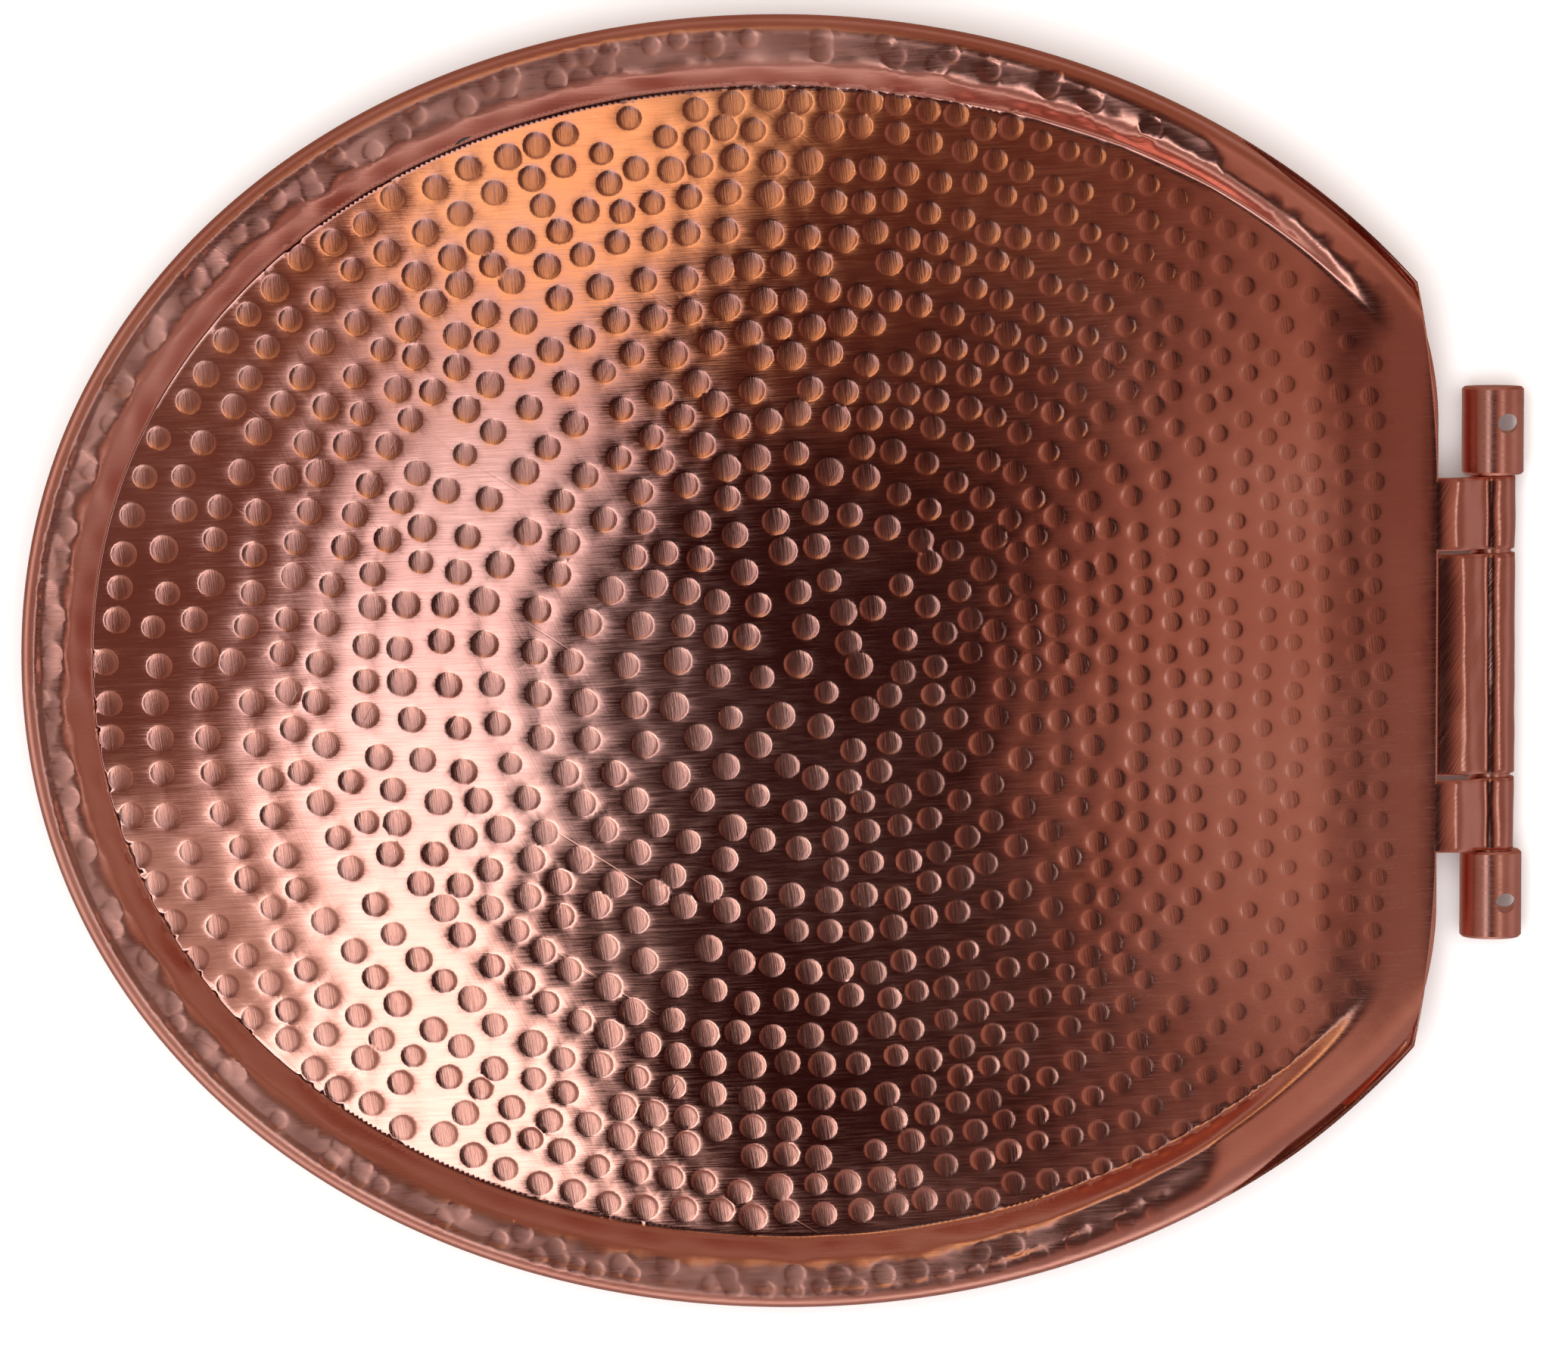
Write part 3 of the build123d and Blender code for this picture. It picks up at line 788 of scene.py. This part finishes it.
class Nodes:
    """Short calls for building a node tree."""

    def __init__(self, tree):
        self.tree = tree
        tree.nodes.clear()

    def new(self, kind, **settings):
        node = self.tree.nodes.new(kind)
        for key, value in settings.items():
            setattr(node, key, value)
        return node

    def link(self, a, b):
        self.tree.links.new(a, b)

    def set(self, socket, value):
        if isinstance(value, bpy.types.NodeSocket):
            self.link(value, socket)
        else:
            socket.default_value = value

    def math(self, operation, a, b=None):
        node = self.new("ShaderNodeMath", operation=operation)
        self.set(node.inputs[0], a)
        if b is not None:
            self.set(node.inputs[1], b)
        return node.outputs[0]

    def smooth(self, value, low, high, to_low=0.0, to_high=1.0):
        node = self.new("ShaderNodeMapRange", interpolation_type="SMOOTHSTEP")
        for socket, given in zip(node.inputs, (value, low, high, to_low, to_high)):
            self.set(socket, given)
        return node.outputs[0]

    def mix(self, factor, a, b):
        node = self.new("ShaderNodeMix", data_type="RGBA")
        self.set(node.inputs[0], factor)
        self.set(node.inputs[6], a)
        self.set(node.inputs[7], b)
        return node.outputs[2]

    def noise(self, scale, stretch=(1, 1, 1), turn=0.0, detail=3.0, rough=0.55):
        place = self.new("ShaderNodeTexCoord")
        mapping = self.new("ShaderNodeMapping", vector_type="TEXTURE")
        mapping.inputs["Scale"].default_value = [1 / s for s in stretch]
        mapping.inputs["Rotation"].default_value = (0, 0, math.radians(turn))
        self.link(place.outputs["Object"], mapping.inputs["Vector"])
        node = self.new("ShaderNodeTexNoise")
        self.link(mapping.outputs[0], node.inputs["Vector"])
        node.inputs["Scale"].default_value = scale
        node.inputs["Detail"].default_value = detail
        node.inputs["Roughness"].default_value = rough
        return node.outputs["Fac"]

    def bump(self, shader, height, strength, distance):
        """Fine relief on a shader's surface. Distance is in metres."""
        node = self.new("ShaderNodeBump")
        node.inputs["Strength"].default_value = strength
        node.inputs["Distance"].default_value = distance
        self.link(height, node.inputs["Height"])
        self.link(node.outputs[0], shader.inputs["Normal"])


def new_material(name):
    material = bpy.data.materials.new(name)
    material.use_nodes = True
    nodes = Nodes(material.node_tree)
    out = nodes.new("ShaderNodeOutputMaterial")
    shader = nodes.new("ShaderNodeBsdfPrincipled")
    nodes.link(shader.outputs[0], out.inputs[0])
    return material, nodes, shader


COPPER_DEEP = (0.75, 0.335, 0.265, 1)
COPPER_MID = (0.85, 0.42, 0.34, 1)
COPPER_PALE = (0.92, 0.57, 0.47, 1)
COPPER_STAIN = (0.40, 0.19, 0.14, 1)
COPPER_GRIME = (0.24, 0.08, 0.05, 1)
RUBBER_BLACK = (0.018, 0.018, 0.019, 1)
RUBBER_DUST = (0.07, 0.066, 0.062, 1)
WOOD_DARK = (0.30, 0.17, 0.09, 1)
WOOD_PALE = (0.52, 0.34, 0.19, 1)
BRASS_DARK = (0.50, 0.33, 0.13, 1)
BRASS_PALE = (0.78, 0.58, 0.28, 1)
BRUSH_DEPTH = 0.00012  # metres


def copper(name, rough, brush_turn, brush, spread=0.0, grain=0.0, tone=1.0):
    """Satin copper: patchy tone, brush lines at an angle, odd scratches and small stains."""
    material, n, shader = new_material(name)
    patches = n.noise(14.0, detail=4.0)
    deep = tuple(c * tone for c in COPPER_DEEP[:3]) + (1,)
    mid = tuple(c * tone for c in COPPER_MID[:3]) + (1,)
    colour = n.mix(n.smooth(patches, 0.35, 0.7), deep, mid)
    specks = n.noise(160.0, detail=5.0, rough=0.7)
    colour = n.mix(n.smooth(specks, 0.62, 0.8, 0.0, 0.55), colour, COPPER_PALE)
    stains = n.noise(30.0, detail=6.0, rough=0.75)
    colour = n.mix(n.smooth(stains, 0.68, 0.80, 0.0, 0.5), colour, COPPER_STAIN)
    n.link(colour, shader.inputs["Base Color"])
    shader.inputs["Metallic"].default_value = 1.0
    lines = n.noise(260.0, (9.0, 0.35, 0.6), brush_turn, detail=4.0)
    cross = n.noise(150.0, (0.25, 9.0, 0.6), brush_turn + 24, detail=4.0)
    scratches = n.noise(42.0, (14.0, 0.22, 0.5), brush_turn - 35, detail=2.0)
    scored = n.smooth(scratches, 0.70, 0.76)
    place = n.new("ShaderNodeTexCoord")
    split = n.new("ShaderNodeSeparateXYZ")
    n.link(place.outputs["Object"], split.inputs[0])
    toward_hinge = n.smooth(split.outputs[1], -0.22, -0.11, 0.0, spread)
    rough_value = n.smooth(lines, 0.3, 0.75, rough - 0.035, rough + 0.05)
    rough_value = n.math("ADD", rough_value, toward_hinge)
    rough_value = n.math("ADD", rough_value, n.smooth(patches, 0.3, 0.75, -0.02, 0.04))
    n.link(rough_value, shader.inputs["Roughness"])
    height = n.math("MULTIPLY", lines, brush)
    height = n.math("ADD", height, n.math("MULTIPLY", cross, brush * 0.15))
    height = n.math("SUBTRACT", height, n.math("MULTIPLY", scored, 0.25))
    if grain:
        height = n.math("ADD", height, n.math("MULTIPLY", n.noise(900.0, detail=3.0), grain))
    n.bump(shader, height, 0.35, BRUSH_DEPTH)
    return material


def turned_copper():
    """Copper bar from the lathe: fine rings round the hinge's line."""
    material, n, shader = new_material("turned_copper_bar")
    patches = n.noise(60.0, detail=4.0)
    colour = n.mix(n.smooth(patches, 0.3, 0.7), COPPER_DEEP, COPPER_MID)
    dark = n.noise(420.0, detail=5.0, rough=0.7)
    colour = n.mix(n.smooth(dark, 0.64, 0.8, 0.0, 0.6), colour, COPPER_GRIME)
    n.link(colour, shader.inputs["Base Color"])
    shader.inputs["Metallic"].default_value = 1.0
    rings = n.noise(700.0, (7.0, 0.12, 0.12), detail=4.0)
    n.link(n.smooth(rings, 0.3, 0.7, 0.25, 0.34), shader.inputs["Roughness"])
    n.bump(shader, rings, 0.16, BRUSH_DEPTH)
    return material


def rubber():
    material, n, shader = new_material("black_rubber")
    dust = n.noise(220.0, detail=5.0, rough=0.7)
    n.link(n.mix(n.smooth(dust, 0.4, 0.75), RUBBER_BLACK, RUBBER_DUST), shader.inputs["Base Color"])
    n.link(n.smooth(dust, 0.3, 0.7, 0.55, 0.8), shader.inputs["Roughness"])
    n.bump(shader, n.noise(1200.0, detail=2.0), 0.25, 0.0002)
    return material


def wood():
    material, n, shader = new_material("sealed_hardwood")
    grain = n.noise(30.0, (12.0, 0.8, 1.0), detail=6.0, rough=0.65)
    colour = n.mix(n.smooth(grain, 0.3, 0.7), WOOD_DARK, WOOD_PALE)
    n.link(colour, shader.inputs["Base Color"])
    shader.inputs["Roughness"].default_value = 0.55
    n.bump(shader, grain, 0.3, 0.0003)
    return material


def screw_brass():
    material, n, shader = new_material("screw_brass")
    wear = n.noise(500.0, detail=4.0)
    colour = n.mix(n.smooth(wear, 0.35, 0.7), BRASS_DARK, BRASS_PALE)
    n.link(colour, shader.inputs["Base Color"])
    shader.inputs["Metallic"].default_value = 1.0
    n.link(n.smooth(wear, 0.3, 0.7, 0.25, 0.45), shader.inputs["Roughness"])
    return material


sheet_copper = copper("brushed_copper_sheet", 0.11, 3.0, 0.7, spread=0.10)
rim_copper = copper("dull_copper_rim", 0.30, 3.0, 0.7, spread=-0.09)
edge_copper = copper("copper_sheet_edge", 0.26, 3.0, 0.12)
tab_copper = copper("dressed_copper_tabs", 0.17, 60.0, 0.8, tone=0.92)
struck_copper = copper("struck_copper_marks", 0.20, 97.0, 0.8, grain=0.3, tone=0.86)
plain_copper = copper("plain_copper_sheet", 0.26, 20.0, 1.0)
bar_copper = turned_copper()

SHEET_MATERIALS = [sheet_copper, struck_copper, rim_copper, tab_copper, edge_copper]
lid = make_lid(SHEET_MATERIALS)
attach(lid, "lid")
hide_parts("lid_shell")

seat = make_seat(SHEET_MATERIALS)
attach(seat, "seat")
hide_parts("seat_shell")

NODE_MATERIALS = {
    "seat_bottom_plate": plain_copper,
    "hinge_rod": bar_copper,
    "hinge_barrel_left": bar_copper,
    "hinge_barrel_right": bar_copper,
    "seat_bumpers": rubber(),
    "lid_buffers": rubber(),
    "seat_core": wood(),
    "plate_screws": screw_brass(),
    "bumper_screws": screw_brass(),
}
for node, material in NODE_MATERIALS.items():
    obj = bpy.data.objects[node]
    for slot in obj.material_slots:
        slot.material = material
    if not obj.material_slots:
        obj.data.materials.append(material)


# ---------------------------------------------------------------- floor, light and camera

LAMP_SIZE = 4.0
LAMP_POWER = 190.0
LAMP_PLACE = (0.0, -0.2, 3.5)
CAMERA_PLACE = (-0.172, -0.064, 2.0)
CAMERA_TARGET = (0.00225, -0.21017, 0.025)
CAMERA_TILT = math.radians(-0.218)
CAMERA_LENS = 156.37
FLOOR_HALF = 5000.0
FLOOR_GREY = (0.86, 0.86, 0.86, 1)
FLOOR_PALE = (0.90, 0.90, 0.90, 1)

# Colours of the surround
DIM = (0.022, 0.007, 0.008, 1)
DIM_LEFT = (0.10, 0.040, 0.028, 1)
BROWN = (0.195, 0.095, 0.080, 1)
BROWN_PALE = (0.43, 0.255, 0.19, 1)
WHITE_LEFT = (0.92, 0.95, 1.02, 1)
WHITE = (1.80, 2.00, 2.20, 1)
WHITE_RIGHT = (2.5, 2.7, 2.75, 1)
PALE = (0.52, 0.44, 0.38, 1)
AMBER = (1.55, 1.20, 0.62, 1)
SHADE = (0.15, 0.078, 0.066, 1)
CORNER_SHADE = (0.20, 0.10, 0.06, 1)
STRIP = (1.2, 1.3, 1.3, 1)
ROOM_LEFT = (0.28, 0.15, 0.105, 1)
ROOM_RIGHT = (0.33, 0.23, 0.21, 1)
LOW_GLOW = (1.05, 1.0, 0.96, 1)


def make_floor():
    build = Builder()
    size = FLOOR_HALF
    first = build.add_points([(-size, -size, 0), (size, -size, 0), (size, size, 0), (-size, size, 0)])
    build.add_faces([(first, first + 1, first + 2, first + 3)])
    material, n, shader = new_material("pale_floor")
    tone = n.noise(3.0, detail=2.0)
    n.link(n.mix(tone, FLOOR_GREY, FLOOR_PALE), shader.inputs["Base Color"])
    shader.inputs["Roughness"].default_value = 0.9
    floor = build.make("floor", [material])
    floor.visible_glossy = False


def make_world():
    """Studio surround: a bright ring of soft light round a dim overhead opening.

    rx and ry say where a ray from the object would cross a ceiling one unit up. Each patch of
    light is an oval on that ceiling."""
    world = bpy.data.worlds.new("studio")
    bpy.context.scene.world = world
    world.use_nodes = True
    n = Nodes(world.node_tree)
    out = n.new("ShaderNodeOutputWorld")
    back = n.new("ShaderNodeBackground")
    n.link(back.outputs[0], out.inputs[0])
    place = n.new("ShaderNodeTexCoord")
    split = n.new("ShaderNodeSeparateXYZ")
    n.link(place.outputs["Generated"], split.inputs[0])
    up = n.math("MAXIMUM", split.outputs[2], 0.03)
    rx = n.math("DIVIDE", split.outputs[0], up)
    ry = n.math("DIVIDE", split.outputs[1], up)

    def oval(cx, cy, wide, long):
        """0 at the middle of an oval patch of the ceiling and 1 on its edge."""
        a = n.math("DIVIDE", n.math("SUBTRACT", rx, cx), wide)
        b = n.math("DIVIDE", n.math("SUBTRACT", ry, cy), long)
        return n.math("SQRT", n.math("ADD", n.math("MULTIPLY", a, a), n.math("MULTIPLY", b, b)))

    # straight up: nearly black, browner toward the hinge side
    dim = n.mix(n.smooth(rx, -0.30, 0.0), DIM_LEFT, DIM)
    brown = n.mix(n.smooth(ry, 0.25, 0.36), BROWN, BROWN_PALE)
    inner = n.mix(n.smooth(ry, 0.12, 0.27), dim, brown)

    # the bright ring, on the front side only: white, paler outside, amber to one side
    away = oval(0.32, 0.10, 0.72, 0.35)
    ring = n.math("MULTIPLY", n.smooth(away, 0.92, 1.14), n.smooth(ry, -0.22, -0.04, 1.0, 0.0))
    white = n.mix(n.smooth(rx, -0.20, 0.10), WHITE_LEFT, WHITE)
    white = n.mix(n.smooth(rx, 0.10, 0.35), white, WHITE_RIGHT)
    bright = n.mix(n.smooth(away, 1.36, 1.68), white, PALE)
    bright = n.mix(n.smooth(rx, -0.34, -0.17), AMBER, bright)
    shade = n.smooth(oval(-0.09, -0.60, 0.44, 0.27), 0.6, 1.15, 1.0, 0.0)
    bright = n.mix(shade, bright, SHADE)
    corner = n.smooth(oval(-0.42, -0.44, 0.24, 0.17), 0.6, 1.0, 1.0, 0.0)
    bright = n.mix(corner, bright, CORNER_SHADE)
    colour = n.mix(ring, inner, bright)

    # one bright strip behind the hinge
    strip = n.smooth(oval(0.09, 0.72, 0.24, 0.15), 0.6, 1.1, 1.0, 0.0)
    colour = n.mix(strip, colour, STRIP)

    # the walls all round, lit low down from the front
    room = n.mix(n.smooth(rx, -0.5, 0.9), ROOM_LEFT, ROOM_RIGHT)
    across = n.math("MULTIPLY", split.outputs[0], 0.8)
    across = n.math("ADD", across, n.math("MULTIPLY", split.outputs[1], -0.6))
    low = n.smooth(split.outputs[2], 0.12, 0.42, 1.0, 0.0)
    low = n.math("MULTIPLY", low, n.smooth(across, -0.3, 0.8, 0.2, 1.0))
    low = n.math("MULTIPLY", low, n.smooth(split.outputs[2], -0.30, 0.0))
    room = n.mix(low, room, LOW_GLOW)
    aside = n.smooth(n.math("ABSOLUTE", n.math("SUBTRACT", rx, 0.1)), 0.62, 0.9)
    beyond = n.math("MAXIMUM", aside, n.smooth(oval(0.1, 0.0, 1.0, 1.0), 0.72, 1.1))
    colour = n.mix(beyond, colour, room)
    n.link(colour, back.inputs[0])
    back.inputs[1].default_value = 1.0


def make_lamp():
    """A wide soft lamp high above. It lights the floor and leaves no mirror image in the copper."""
    data = bpy.data.lights.new("soft_lamp", "AREA")
    data.shape = "DISK"
    data.size = LAMP_SIZE
    data.energy = LAMP_POWER
    lamp = bpy.data.objects.new("soft_lamp", data)
    lamp.location = LAMP_PLACE
    lamp.visible_glossy = False
    bpy.context.scene.collection.objects.link(lamp)


def make_camera():
    """Nearly straight down from two metres, the hinge to the right of the picture."""
    data = bpy.data.cameras.new("camera")
    camera = bpy.data.objects.new("camera", data)
    bpy.context.scene.collection.objects.link(camera)
    eye = Vector(CAMERA_PLACE)
    target = Vector(CAMERA_TARGET)
    back = (eye - target).normalized()
    right = Vector((-1, 0, 0)).cross(back).normalized()
    up = back.cross(right)
    c, s = math.cos(CAMERA_TILT), math.sin(CAMERA_TILT)
    right, up = right * c + up * s, up * c - right * s
    camera.matrix_world = Matrix.Translation(eye) @ Matrix((right, up, back)).transposed().to_4x4()
    data.lens = CAMERA_LENS
    data.sensor_width = 36.0
    data.clip_end = 20.0
    bpy.context.scene.camera = camera


make_floor()
make_world()
make_lamp()
make_camera()
bpy.context.scene.view_settings.view_transform = "Standard"
